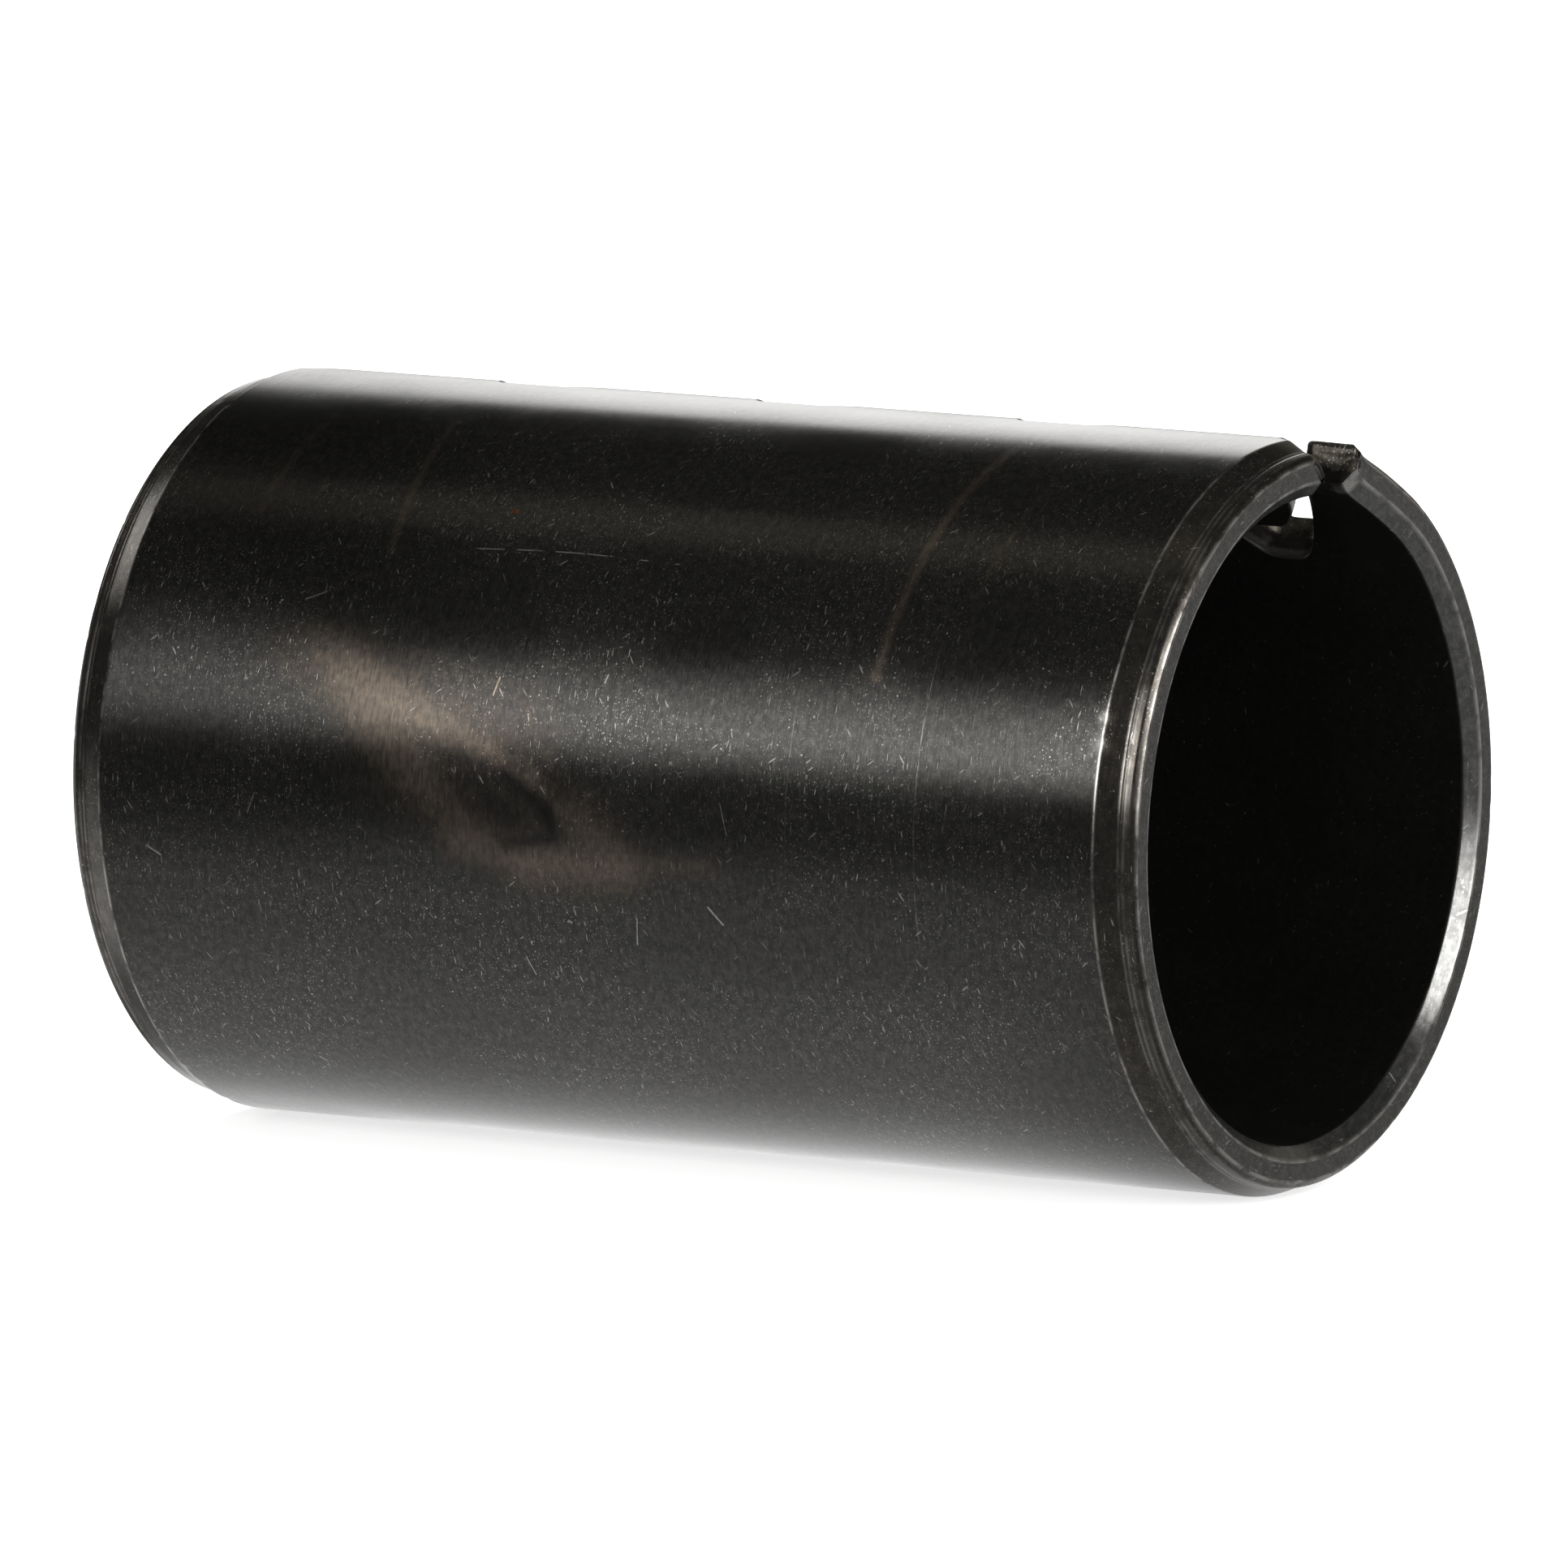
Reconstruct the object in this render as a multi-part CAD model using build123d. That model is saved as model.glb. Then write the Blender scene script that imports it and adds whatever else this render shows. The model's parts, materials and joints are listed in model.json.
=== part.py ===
from build123d import *
import math
import os

# Split steel sleeve, rolled from one strip of spring steel and ground on its outside.
# Millimetres. The sleeve's axis is X, its seam is at the top (+Z), and the origin is
# the centre of the bore at mid-length. Angles round the sleeve start at +Z and
# increase towards +Y.

# --- driving dimensions ---------------------------------------------------------------
outer_diameter = 35.0
wall = 2.5
length = 57.0

# Lead-in cone on the outside of each end, and the small chamfer at each bore mouth.
lead_length = 1.9
lead_depth = 0.77
mouth_length = 0.6
mouth_depth = 0.7

# The seam is a wave: the edge on the -Y side has rounded tongues that reach into
# recesses of the same shape in the edge on the +Y side.
seam_angle = 8.4
seam_gap = 2.7
tongue_count = 4
tongue_pitch = 14.0
tongue_reach = 9.1
tongue_tip_half_width = 0.6
tongue_root_half_width = 5.5

# --- worked out -----------------------------------------------------------------------
outer_radius = outer_diameter / 2
bore_radius = outer_radius - wall
middle_radius = (outer_radius + bore_radius) / 2
half_length = length / 2
overrun = 1.0
stations_per_pitch = 14


def arc_degrees(arc):
    """Angle round the sleeve of an arc measured at the middle of the wall."""
    return math.degrees(arc / middle_radius)


def tongue_centres():
    """Axial positions of the tongues, evenly spaced about mid-length."""
    first = -(tongue_count - 1) * tongue_pitch / 2
    return [first + index * tongue_pitch for index in range(tongue_count)]


def tongue_share(x):
    """1 on a tongue's centre line, 0 between tongues, with an eased slope between."""
    distance = min(abs(x - centre) for centre in tongue_centres())
    rise = (tongue_root_half_width - distance) / (tongue_root_half_width - tongue_tip_half_width)
    rise = min(max(rise, 0.0), 1.0)
    return rise * rise * (3.0 - 2.0 * rise)


def seam_centre(x):
    """Angle of the middle of the seam at axial position x, in degrees."""
    return seam_angle + arc_degrees(tongue_reach) * tongue_share(x)


def around(radius, degrees):
    """Y and Z of a point on a circle about the sleeve's axis."""
    angle = math.radians(degrees)
    return radius * math.sin(angle), radius * math.cos(angle)


def full_tube():
    """The closed tube with its lead-in cones and bore mouths, before the seam."""
    half_profile = [
        (half_length, bore_radius + mouth_depth),
        (half_length, outer_radius - lead_depth),
        (half_length - lead_length, outer_radius),
        (-half_length + lead_length, outer_radius),
        (-half_length, outer_radius - lead_depth),
        (-half_length, bore_radius + mouth_depth),
        (-half_length + mouth_length, bore_radius),
        (half_length - mouth_length, bore_radius),
    ]
    # The revolve starts at the bottom, so no surface begins or ends beside the seam.
    outline = Polyline([(x, 0, -radius) for x, radius in half_profile], close=True)
    return revolve(make_face(outline), Axis.X)


def seam_section(x):
    """The gap's cross-section at x: a wedge with radial sides, wider than the wall."""
    half_gap = arc_degrees(seam_gap) / 2
    middle = seam_centre(x)
    inner = bore_radius - overrun
    outer = outer_radius + overrun
    corners = [
        (x, *around(inner, middle - half_gap)),
        (x, *around(inner, middle + half_gap)),
        (x, *around(outer, middle + half_gap)),
        (x, *around(outer, middle - half_gap)),
    ]
    return make_face(Polyline(corners, close=True))


def seam_cutter():
    """The wave-shaped gap as one solid, running past both ends."""
    span = length + 2 * overrun
    steps = round(span / tongue_pitch * stations_per_pitch)
    places = [-span / 2 + span * index / steps for index in range(steps + 1)]
    return loft([seam_section(x) for x in places], ruled=True)


def build_sleeve():
    """The tube with its seam cut through."""
    return full_tube() - seam_cutter()


os.makedirs("parts", exist_ok=True)
split_sleeve = build_sleeve()
split_sleeve.label = "split_sleeve"
export_step(split_sleeve, "parts/split_sleeve.step")
print("split_sleeve volume mm3", round(split_sleeve.volume, 1), "solids", len(split_sleeve.solids()))
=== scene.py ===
"""Split steel sleeve: the detailed visual model, its black-oxide finish, studio and camera.

Lengths in the geometry code and in the tables are millimetres, as in the CAD, and become
metres when a mesh or a material is made. Angles round the sleeve are degrees from +Z
towards +Y. A depth is a distance along the axis from the nearer end face.
"""

import json
import math

import bpy
import numpy as np
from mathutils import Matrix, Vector


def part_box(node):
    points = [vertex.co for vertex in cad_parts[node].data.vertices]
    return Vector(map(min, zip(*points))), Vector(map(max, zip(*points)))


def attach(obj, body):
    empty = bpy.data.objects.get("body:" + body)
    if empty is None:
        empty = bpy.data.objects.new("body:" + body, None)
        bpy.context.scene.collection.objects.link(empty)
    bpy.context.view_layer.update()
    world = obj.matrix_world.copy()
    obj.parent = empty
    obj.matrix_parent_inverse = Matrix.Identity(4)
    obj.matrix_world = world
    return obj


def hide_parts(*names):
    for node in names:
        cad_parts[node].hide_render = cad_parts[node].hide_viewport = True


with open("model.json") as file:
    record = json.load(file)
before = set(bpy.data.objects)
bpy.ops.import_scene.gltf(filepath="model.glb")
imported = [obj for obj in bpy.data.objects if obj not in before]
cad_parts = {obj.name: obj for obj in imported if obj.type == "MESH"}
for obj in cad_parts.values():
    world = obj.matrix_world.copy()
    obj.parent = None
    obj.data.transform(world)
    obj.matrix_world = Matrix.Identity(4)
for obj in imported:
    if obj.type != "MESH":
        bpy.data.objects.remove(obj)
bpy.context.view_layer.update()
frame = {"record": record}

MM = 0.001
RNG = np.random.default_rng(7)

# --- sizes read from the frame ---------------------------------------------------------
low, high = (np.array(corner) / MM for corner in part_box("split_sleeve"))
LENGTH = high[0] - low[0]
HALF = round(LENGTH / 2, 2)
OUTER = round((high[1] - low[1]) / 2, 1)
mounts = {mount["name"]: mount for mount in frame["record"]["mounts"]}
BORE = mounts["bore"]["dims"]["r_mm"]
MIDDLE = (OUTER + BORE) / 2

# --- sizes shared with the CAD model ---------------------------------------------------
LEAD_LENGTH = 1.9
LEAD_DEPTH = 0.77
MOUTH_LENGTH = 0.6
MOUTH_DEPTH = 0.7
SEAM_ANGLE = 8.4
SEAM_GAP = 2.7
TONGUE_COUNT = 4
TONGUE_PITCH = 14.0
TONGUE_REACH = 9.1
TIP_HALF_WIDTH = 0.6
ROOT_HALF_WIDTH = 5.5

# --- detail that only the visual model has ---------------------------------------------
FACE_EDGE = 0.05          # rounding where the end face meets the cone and the mouth
CORNER_SOFTNESS = 0.03    # rounding where the cone's surfaces meet
LAND_START = 0.80         # depth where the turned cone flattens into a narrow land
LAND_END = 0.28           # depth where the land drops to the end face
LAND_SLOPE = 0.13
NOSE_SLOPE = 0.96         # slope between the land and the end face
RIDGES = ((0.80, 0.018), (0.57, 0.010))   # (depth, height) of the tool ridges on the cone
RIDGE_WIDTH = 0.05

SEAM_OUTER_ROUND = 0.30   # rounding of the seam's edges on the outside
SEAM_INNER_ROUND = 0.16   # and in the bore
TAB_EXTRA_ROUND = 0.10    # extra rounding of the end tab's outer edge
NOSE_ROUND = 0.80         # extra rounding of the other edge's outer corner at the end face
NOSE_INNER_ROUND = 0.22   # and of its corner in the bore
NOSE_DEPTH = 2.4          # depth over which that rounding dies away
NOSE_CUT = 0.20           # how much shorter the other edge is there
END_DEPTH = 3.2           # depth over which the cut and the tab's rounding die away
SIDE_ROUND = 0.19         # rounding where the seam's edges meet the end faces
SHIFT_FADE = 80.0         # degrees over which the tongues' shift of the mesh dies away
END_FADE = 9.0            # degrees over which the tab's and the cut's shift dies away
GROOVE_DEPTH = 0.10       # shallow groove along the middle of the sheared wall
GROOVE_LEVEL = 0.45       # as a share of the wall
GROOVE_WIDTH = 0.12
GROOVE_START = 5.0        # depth where the groove is whole on the tab's side

TAB_REACH = ((0.0, 0.28), (1.0, 0.34), (2.3, 0.62), (5.5, 0.0))   # (depth, extra reach)
TAB_BULGE = 0.12          # how far the end tab's edge face swells at mid-wall
TAB_BULGE_DEPTH = 0.6     # depth where the swelling starts to die away
TAB_BULGE_RUN = 3.0
TAB_LIFT = 0.75           # how far the end tab springs outwards at its tip
TAB_LIFT_FADE = 2.6       # degrees over which the lift dies away
TAB_LIFT_DEPTH = 2.9      # depth where the lift starts to die away
TAB_LIFT_RUN = 3.0
TAB_DIP = 0.13            # shallow dip behind the lift
TAB_DIP_TURN = 16.0       # degrees from the tip
TAB_DIP_WIDTH = 9.0

# --- mesh ------------------------------------------------------------------------------
ARC_POINTS = 420
CORNER_POINTS = 6
WALL_POINTS = 9
RIM_STEPS = 5             # rows across the rounding of an end face's edge
NEAR_DEPTHS = (
    0.12, 0.15, 0.19, 0.24, 0.28, 0.32, 0.38, 0.46, 0.54, 0.58, 0.62, 0.68,
    0.74, 0.78, 0.82, 0.86, 0.95, 1.1, 1.25, 1.4, 1.55, 1.68, 1.76, 1.8,
    1.83, 1.86, 1.89, 1.92, 1.95, 1.99, 2.05, 2.12, 2.25, 2.45, 2.7,
)
EVEN_START = 3.0          # depth where evenly spaced rows take over
EVEN_ROWS = 256
FACE_RING_SHARES = (0.04, 0.10, 0.2, 0.5, 0.8, 0.90, 0.96)
ZONE_NAMES = ("outside", "cone", "face", "mouth", "bore", "seam")

# --- dents and bare edges --------------------------------------------------------------
NICK_COUNT = 60                               # at each end
NICK_DEPTHS = [LEAD_LENGTH, LAND_START, 0.05]
NICK_SIZES = (0.08, 0.26)
NICK_AMOUNTS = (0.015, 0.06)
# Bare metal along edges: (depth, half width, strength).
OUTSIDE_WEAR = (
    (LEAD_LENGTH, 0.06, 0.9),
    (0.0, 0.05, 0.80),
    (RIDGES[0][0], 0.04, 0.45),
    (RIDGES[1][0], 0.04, 0.35),
    (LAND_END, 0.04, 0.30),
)
BORE_WEAR = ((0.0, 0.05, 0.85), (MOUTH_LENGTH, 0.05, 0.10))
LAND_WEAR = 0.05          # all over the land
LAND_WEAR_EDGE = 0.1
FACE_RIM_WEAR = 0.75      # on the first and last ring of the end faces
CORNER_WEAR = 0.9         # beside both corners of the end tab's edge, near the end face
CORNER_WEAR_DEPTH = 1.2
CORNER_WEAR_POINTS = 3


# --- shape of the seam -----------------------------------------------------------------
def arc_degrees(arc):
    return math.degrees(arc / MIDDLE)


def smooth(value):
    value = np.clip(value, 0.0, 1.0)
    return value * value * (3.0 - 2.0 * value)


def tongue_share(x):
    first = -(TONGUE_COUNT - 1) * TONGUE_PITCH / 2
    centres = [first + index * TONGUE_PITCH for index in range(TONGUE_COUNT)]
    distance = min(abs(x - centre) for centre in centres)
    return float(smooth((ROOT_HALF_WIDTH - distance) / (ROOT_HALF_WIDTH - TIP_HALF_WIDTH)))


def seam_shift(x):
    return arc_degrees(TONGUE_REACH) * tongue_share(x)


# --- profile of the wall along the axis ------------------------------------------------
def soft_step(inside):
    """Zero outside a corner and the distance past it inside, with the corner rounded."""
    return CORNER_SOFTNESS * np.logaddexp(0.0, inside / CORNER_SOFTNESS)


def cone_drop(depth):
    """How far the outside lies under the full radius."""
    slope = LEAD_DEPTH / LEAD_LENGTH
    drop = slope * soft_step(LEAD_LENGTH - depth)
    drop -= (slope - LAND_SLOPE) * soft_step(LAND_START - depth)
    drop += (NOSE_SLOPE - LAND_SLOPE) * soft_step(LAND_END - depth)
    for ridge_depth, height in RIDGES:
        drop -= height * np.exp(-((depth - ridge_depth) / RIDGE_WIDTH) ** 2)
    return drop


def mouth_rise(depth):
    return MOUTH_DEPTH / MOUTH_LENGTH * soft_step(MOUTH_LENGTH - depth)


def stations():
    """(x, outer radius, inner radius) from the +X face to the -X face."""
    even_depths = np.linspace(EVEN_START, LENGTH - EVEN_START, EVEN_ROWS)
    far_depths = [LENGTH - depth for depth in reversed(NEAR_DEPTHS)]
    rows = []
    for from_near_end in (*NEAR_DEPTHS, *even_depths, *far_depths):
        depth = min(from_near_end, LENGTH - from_near_end)
        rows.append((HALF - from_near_end, OUTER - cone_drop(depth), BORE + mouth_rise(depth)))
    # The rounded rims where each end face begins.
    rim = []
    for step in range(RIM_STEPS):
        turn = math.radians(90 * (step + 1) / RIM_STEPS)
        depth = FACE_EDGE * (1 - math.sin(turn))
        inset = FACE_EDGE * (1 - math.cos(turn))
        rim.append((depth, OUTER - cone_drop(depth) - inset, BORE + mouth_rise(depth) + inset))
    first = [(HALF - depth, outer, inner) for depth, outer, inner in reversed(rim)]
    last = [(-HALF + depth, outer, inner) for depth, outer, inner in rim]
    return first + rows + last


def tab_lift(x, degrees_from_tip):
    """Outward spring of the end tab near its tip, at the +X end only."""
    fade = 1.0 - smooth((HALF - x - TAB_LIFT_DEPTH) / TAB_LIFT_RUN)
    rise = TAB_LIFT * np.exp(-degrees_from_tip / TAB_LIFT_FADE)
    dip = TAB_DIP * np.exp(-((degrees_from_tip - TAB_DIP_TURN) / TAB_DIP_WIDTH) ** 2)
    return fade * (rise - dip)


def corner(edge, radius, size, side, outward):
    """(degrees, radii) of one rounded corner of the wall's section, up to a seam edge."""
    turn = np.radians(np.linspace(0, 90, CORNER_POINTS + 1)[:-1])
    reach = size * (1 - np.cos(turn))
    drop = size * (1 - np.sin(turn))
    angles = edge + side * np.degrees(reach / radius)
    radii = radius - drop if outward else radius + drop
    return angles, radii


def wall(top, bottom):
    """Radii down one edge face of the seam, between its two rounded corners."""
    share = np.linspace(0, 1, WALL_POINTS + 2)[1:-1]
    return top + (bottom - top) * share


def section_loop(x, outer, inner):
    """Closed loop of (degrees, radius, zone) round the wall's section at x.

    The back edge of the seam carries the end tab at the +X end; the front edge faces it.
    """
    half_gap = arc_degrees(SEAM_GAP) / 2
    shift = seam_shift(x)
    start = SEAM_ANGLE + half_gap
    sweep = 360.0 - 2 * half_gap
    from_near_end = HALF - x
    at_nose = 1.0 - smooth(from_near_end / NOSE_DEPTH)
    at_end = 1.0 - smooth(from_near_end / END_DEPTH)
    side = max(0.0, 1.0 - min(from_near_end, LENGTH - from_near_end) / SIDE_ROUND)
    side_bevel = arc_degrees(SIDE_ROUND * (1.0 - math.sqrt(1.0 - side * side)))
    tab_reach = float(np.interp(from_near_end, *zip(*TAB_REACH)))
    back_set = arc_degrees(tab_reach) - side_bevel
    front_set = arc_degrees(NOSE_CUT) * at_end + side_bevel
    back_round = SEAM_OUTER_ROUND + TAB_EXTRA_ROUND * at_end
    front_round = SEAM_OUTER_ROUND + NOSE_ROUND * at_nose
    back_inner_round = SEAM_INNER_ROUND
    front_inner_round = SEAM_INNER_ROUND + NOSE_INNER_ROUND * at_nose

    def arc(radius, lead_in, lead_out):
        first = math.degrees(lead_in / radius)
        last = sweep - math.degrees(lead_out / radius)
        along = np.linspace(first, last, ARC_POINTS)
        near_edge = np.minimum(along, sweep - along)
        moved = shift * (1.0 - smooth(near_edge / SHIFT_FADE))
        moved -= back_set * (1.0 - smooth(along / END_FADE))
        moved -= front_set * (1.0 - smooth((sweep - along) / END_FADE))
        return start + along + moved, np.full(ARC_POINTS, radius)

    outer_angles, outer_radii = arc(outer, back_round, front_round)
    inner_angles, inner_radii = arc(inner, back_inner_round, front_inner_round)
    back_edge = start + shift - back_set
    front_edge = start + sweep + shift - front_set
    back_top = corner(back_edge, outer, back_round, 1, True)
    front_top = corner(front_edge, outer, front_round, -1, True)
    front_low = corner(front_edge, inner, front_inner_round, -1, False)
    back_low = corner(back_edge, inner, back_inner_round, 1, False)
    front_wall = wall(outer - front_round, inner + front_inner_round)
    back_wall = wall(inner + back_inner_round, outer - back_round)

    share = np.linspace(0, 1, WALL_POINTS)
    front_bite = GROOVE_DEPTH * np.exp(-((share - GROOVE_LEVEL) / GROOVE_WIDTH) ** 2)
    bulge_fade = 1.0 - smooth((from_near_end - TAB_BULGE_DEPTH) / TAB_BULGE_RUN)
    swell = TAB_BULGE * bulge_fade * np.sin(np.linspace(0, np.pi, WALL_POINTS))
    back_bite = front_bite[::-1] * smooth(from_near_end / GROOVE_START) - swell
    parts = [
        (back_top[0], back_top[1], "seam"),
        (outer_angles, outer_radii, "outside"),
        (front_top[0][::-1], front_top[1][::-1], "seam"),
        (front_edge - np.degrees(front_bite / MIDDLE), front_wall, "seam"),
        (front_low[0], front_low[1], "seam"),
        (inner_angles[::-1], inner_radii, "bore"),
        (back_low[0][::-1], back_low[1][::-1], "seam"),
        (back_edge + np.degrees(back_bite / MIDDLE), back_wall, "seam"),
    ]
    angles = np.concatenate([part[0] for part in parts])
    radii = np.concatenate([part[1] for part in parts])
    zones = sum(([part[2]] * len(part[0]) for part in parts), [])

    lift = tab_lift(x, np.clip(angles - back_edge, 0.0, 180.0))
    outer_lift = np.minimum(lift, OUTER - outer)
    share = np.clip((radii - inner) / (outer - inner), 0.0, 1.0)
    radii = np.minimum(radii + lift + (outer_lift - lift) * share, OUTER)
    return angles, radii, zones


# --- wear ------------------------------------------------------------------------------
def rim_nicks():
    """Small dents on the edges of each lead-in cone: (x, degrees, size, amount)."""
    nicks = []
    for end in (1, -1):
        for _ in range(NICK_COUNT):
            depth = RNG.choice(NICK_DEPTHS)
            turn = RNG.uniform(-180, 180)
            size = RNG.uniform(*NICK_SIZES)
            amount = RNG.uniform(*NICK_AMOUNTS)
            nicks.append((end * (HALF - depth), turn, size, amount))
    return nicks


def nick_depths(x, angles, outer, nicks):
    total = np.zeros(len(angles))
    for nick_x, nick_angle, size, amount in nicks:
        if abs(x - nick_x) > 3 * size:
            continue
        turn = (angles - nick_angle + 180.0) % 360.0 - 180.0
        reach = np.radians(turn) * outer
        total += amount * np.exp(-(reach / size) ** 2 - ((x - nick_x) / size) ** 2)
    return total


def edge_wear(depth, zone):
    """Bare metal along the edges, by depth and zone."""
    edges = {"outside": OUTSIDE_WEAR, "bore": BORE_WEAR}.get(zone, ())
    wear = 0.0
    for edge_depth, half_width, strength in edges:
        wear += strength * math.exp(-((depth - edge_depth) / half_width) ** 2)
    if zone == "outside":
        past_start = smooth((LAND_START - depth) / LAND_WEAR_EDGE)
        wear += LAND_WEAR * past_start * smooth((depth - LAND_END) / LAND_WEAR_EDGE)
    return min(wear, 1.0)


# Marks on the ground outside: (x, degrees) of both ends, half width, strength.
RUBBED = (
    ((-15.2, -67.0), (-13.4, -70.5), 1.30, 0.45),
    ((-13.6, -70.2), (-11.0, -74.5), 1.15, 0.80),
    ((-12.0, -73.0), (-8.0, -77.6), 0.85, 0.70),
    ((-9.6, -76.2), (-5.4, -80.2), 0.58, 0.90),
    ((-5.8, -79.9), (-3.2, -84.4), 0.40, 0.62),
    ((-3.3, -84.0), (-0.6, -90.4), 0.50, 0.55),
    ((-12.4, -76.0), (-9.6, -84.5), 1.10, 0.62),
    ((-9.8, -84.0), (-6.4, -93.0), 0.95, 0.75),
    ((-7.2, -94.0), (-3.2, -96.6), 0.80, 0.70),
    ((-3.6, -97.0), (1.6, -96.2), 0.95, 0.85),
    ((-0.4, -89.5), (1.0, -94.5), 1.00, 0.60),
    ((1.6, -96.0), (6.4, -95.2), 0.60, 0.35),
    ((-17.0, -67.0), (-4.0, -75.0), 3.00, 0.16),
    ((-10.5, -82.0), (0.0, -94.0), 3.00, 0.26),
    ((15.1, -15.7), (14.2, -64.5), 0.28, 0.75),
    ((-14.1, -20.0), (-13.2, -50.0), 0.22, 0.60),
    ((-20.6, -20.0), (-21.0, -44.0), 0.24, 0.45),
    ((18.8, -24.0), (18.2, -50.0), 0.18, 0.38),
)
DARKENED = (
    ((-7.9, -81.2), (-4.2, -90.8), 0.85, 0.38),
    ((-4.6, -83.9), (-2.4, -88.4), 0.34, 0.85),
    ((-2.4, -88.6), (-2.0, -92.2), 0.36, 1.0),
    ((-2.2, -92.8), (-4.6, -94.4), 0.30, 0.85),
)


def marks(x, angles, table):
    """How strongly the marks of a table show at points of the outside."""
    total = np.zeros(len(angles))
    arc = (angles - 360.0) * math.radians(1.0) * OUTER
    for (x0, turn0), (x1, turn1), half_width, strength in table:
        start = np.array([x0, math.radians(turn0) * OUTER])
        along = np.array([x1, math.radians(turn1) * OUTER]) - start
        share = ((x - start[0]) * along[0] + (arc - start[1]) * along[1]) / (along @ along)
        share = np.clip(share, 0.0, 1.0)
        distance = np.hypot(x - start[0] - share * along[0], arc - start[1] - share * along[1])
        shown = strength * np.exp(-(distance / half_width) ** 2)
        total = 1.0 - (1.0 - total) * (1.0 - shown)
    return total


# --- the sleeve's mesh -----------------------------------------------------------------
def new_mesh(name, points, faces, smooth_faces=True):
    mesh = bpy.data.meshes.new(name)
    mesh.from_pydata((np.asarray(points) * MM).tolist(), [], faces)
    mesh.validate()
    mesh.polygons.foreach_set("use_smooth", [smooth_faces] * len(mesh.polygons))
    mesh.update()
    piece = bpy.data.objects.new(name, mesh)
    bpy.context.scene.collection.objects.link(piece)
    return piece


def write_values(mesh, name, values):
    layer = mesh.attributes.new(name, "FLOAT", "POINT")
    layer.data.foreach_set("value", np.asarray(values, dtype=np.float32))


def zone_at(zone, depth):
    if zone == "outside" and depth < LEAD_LENGTH:
        return "cone"
    if zone == "bore" and depth < MOUTH_LENGTH:
        return "mouth"
    return zone


def build_sleeve():
    """The whole sleeve, with what its materials need written on the points.

    "sheet" is x, the turn times the middle radius, and the radius, in metres.
    """
    rows = stations()
    nicks = rim_nicks()
    first_outer = CORNER_POINTS
    first_inner = first_outer + ARC_POINTS + CORNER_POINTS + WALL_POINTS + CORNER_POINTS
    after_inner = first_inner + ARC_POINTS
    points = []
    sheet = []
    wear = []
    rubbed = []
    darkened = []
    zones = None
    for x, outer, inner in rows:
        angles, radii, zones = section_loop(x, outer, inner)
        outside = np.array([zone == "outside" for zone in zones])
        radii = radii - np.where(outside, nick_depths(x, angles, outer, nicks), 0.0)
        turn = np.radians(angles)
        along = np.full(len(angles), x)
        points.append(np.column_stack([along, radii * np.sin(turn), radii * np.cos(turn)]))
        sheet.append(np.column_stack([along, turn * MIDDLE, radii]) * MM)
        worn_by_zone = {zone: edge_wear(HALF - abs(x), zone) for zone in set(zones)}
        row_wear = np.array([worn_by_zone[zone] for zone in zones])
        if HALF - x < CORNER_WEAR_DEPTH:
            row_wear[first_outer:first_outer + CORNER_WEAR_POINTS] = CORNER_WEAR
            row_wear[after_inner - CORNER_WEAR_POINTS:after_inner] = CORNER_WEAR
        wear.append(row_wear)
        rubbed.append(np.where(outside, marks(x, angles, RUBBED), 0.0))
        darkened.append(np.where(outside, marks(x, angles, DARKENED), 0.0))

    size = len(zones)
    faces = []
    materials = []
    for row in range(len(rows) - 1):
        depth = HALF - abs((rows[row][0] + rows[row + 1][0]) / 2)
        here = row * size
        after = here + size
        for column in range(size):
            beside = (column + 1) % size
            faces.append((here + column, here + beside, after + beside, after + column))
            materials.append(ZONE_NAMES.index(zone_at(zones[column], depth)))
    points = list(np.concatenate(points))
    sheet = list(np.concatenate(sheet))
    wear = list(np.concatenate(wear))

    # Each end face is a ladder of rings from the outside to the bore. Its two ends close
    # against the edge faces of the seam.
    for base, flip in ((0, False), ((len(rows) - 1) * size, True)):
        top = [base + first_outer + index for index in range(ARC_POINTS)]
        bottom = [base + after_inner - 1 - index for index in range(ARC_POINTS)]
        rings = []
        for share in FACE_RING_SHARES:
            at_rim = share in (FACE_RING_SHARES[0], FACE_RING_SHARES[-1])
            ring = []
            for upper, lower in zip(top, bottom):
                ring.append(len(points))
                points.append(points[upper] + (points[lower] - points[upper]) * share)
                sheet.append(sheet[upper] * (1 - share) + sheet[lower] * share)
                wear.append(FACE_RIM_WEAR if at_rim else 0.0)
            rings.append(ring)
        ladder = [top] + rings + [bottom]
        for upper, lower in zip(ladder, ladder[1:]):
            for index in range(ARC_POINTS - 1):
                quad = (upper[index], lower[index], lower[index + 1], upper[index + 1])
                faces.append(quad[::-1] if flip else quad)
                materials.append(ZONE_NAMES.index("face"))
        back = list(range(base + after_inner, base + size))
        back += list(range(base, base + first_outer))
        back_side = [bottom[0]] + back + [top[0]] + [ring[0] for ring in rings]
        front = list(range(base + first_outer + ARC_POINTS, base + first_inner))
        front_side = [top[-1]] + front + [bottom[-1]] + [ring[-1] for ring in reversed(rings)]
        for side, zone in ((back_side, "seam"), (front_side, "face")):
            faces.append(tuple(side[::-1]) if flip else tuple(side))
            materials.append(ZONE_NAMES.index(zone))

    piece = new_mesh("sleeve_steel", points, faces)
    piece.data.polygons.foreach_set("material_index", materials)
    unmarked = np.zeros(len(points) - size * len(rows))
    write_values(piece.data, "wear", wear)
    write_values(piece.data, "rubbed", np.concatenate(rubbed + [unmarked]))
    write_values(piece.data, "darkened", np.concatenate(darkened + [unmarked]))
    unrolled = piece.data.attributes.new("sheet", "FLOAT_VECTOR", "POINT")
    unrolled.data.foreach_set("vector", np.concatenate(sheet).astype(np.float32))
    return piece


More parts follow.
